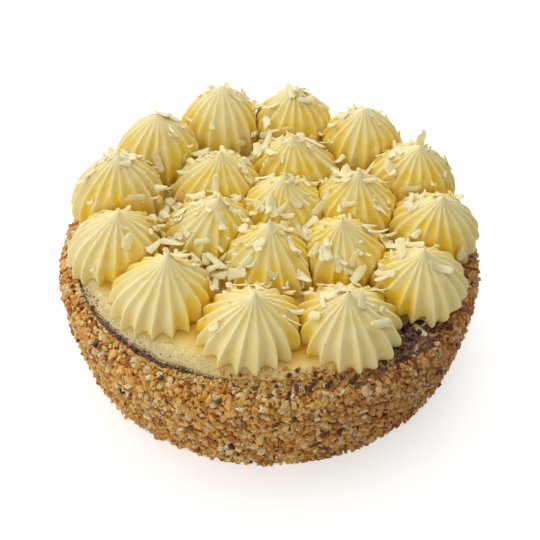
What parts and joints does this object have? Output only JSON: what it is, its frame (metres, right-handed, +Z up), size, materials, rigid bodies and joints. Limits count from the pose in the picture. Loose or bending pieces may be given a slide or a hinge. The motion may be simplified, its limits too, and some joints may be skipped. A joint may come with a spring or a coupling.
{
  "type": "nut-coated cream cake with piped rosettes",
  "caption": "Round cream cake with a chopped nut coat, piped star rosettes over the top and white chocolate shavings; it stands on its flat foot.",
  "frame": {"origin": "middle of the flat foot, on the surface that the cake stands on", "axes": "+Z up; -Y is the front, the side nearest the camera in the picture; +X is to the right as seen from the front"},
  "size_m": [0.2001, 0.1996, 0.0863],
  "materials": {
    "chopped_nuts": "dry toasted chopped nuts pressed into cream, golden tan with pale and red-brown bits",
    "dark_sponge": "dull, crumbly dark chocolate sponge",
    "spread_cream": "pale yellow cream, spread smooth, slightly moist",
    "piped_cream": "pale yellow whipped cream, soft satin",
    "white_chocolate": "thin white chocolate shavings, waxy sheen"
  },
  "bodies": {
    "root": {"nut_coated_cake": "chopped_nuts", "chocolate_sponge": "dark_sponge", "cream_topping": "spread_cream", "rosette_outer_01": "piped_cream", "rosette_outer_02": "piped_cream", "rosette_outer_03": "piped_cream", "rosette_outer_04": "piped_cream", "rosette_outer_05": "piped_cream", "rosette_outer_06": "piped_cream", "rosette_outer_07": "piped_cream", "rosette_outer_08": "piped_cream", "rosette_outer_09": "piped_cream", "rosette_outer_10": "piped_cream", "rosette_outer_11": "piped_cream", "rosette_outer_12": "piped_cream", "rosette_inner_1": "piped_cream", "rosette_inner_2": "piped_cream", "rosette_inner_3": "piped_cream", "rosette_inner_4": "piped_cream", "rosette_inner_5": "piped_cream", "rosette_inner_6": "piped_cream", "rosette_centre": "piped_cream"}
  },
  "joints": []
}
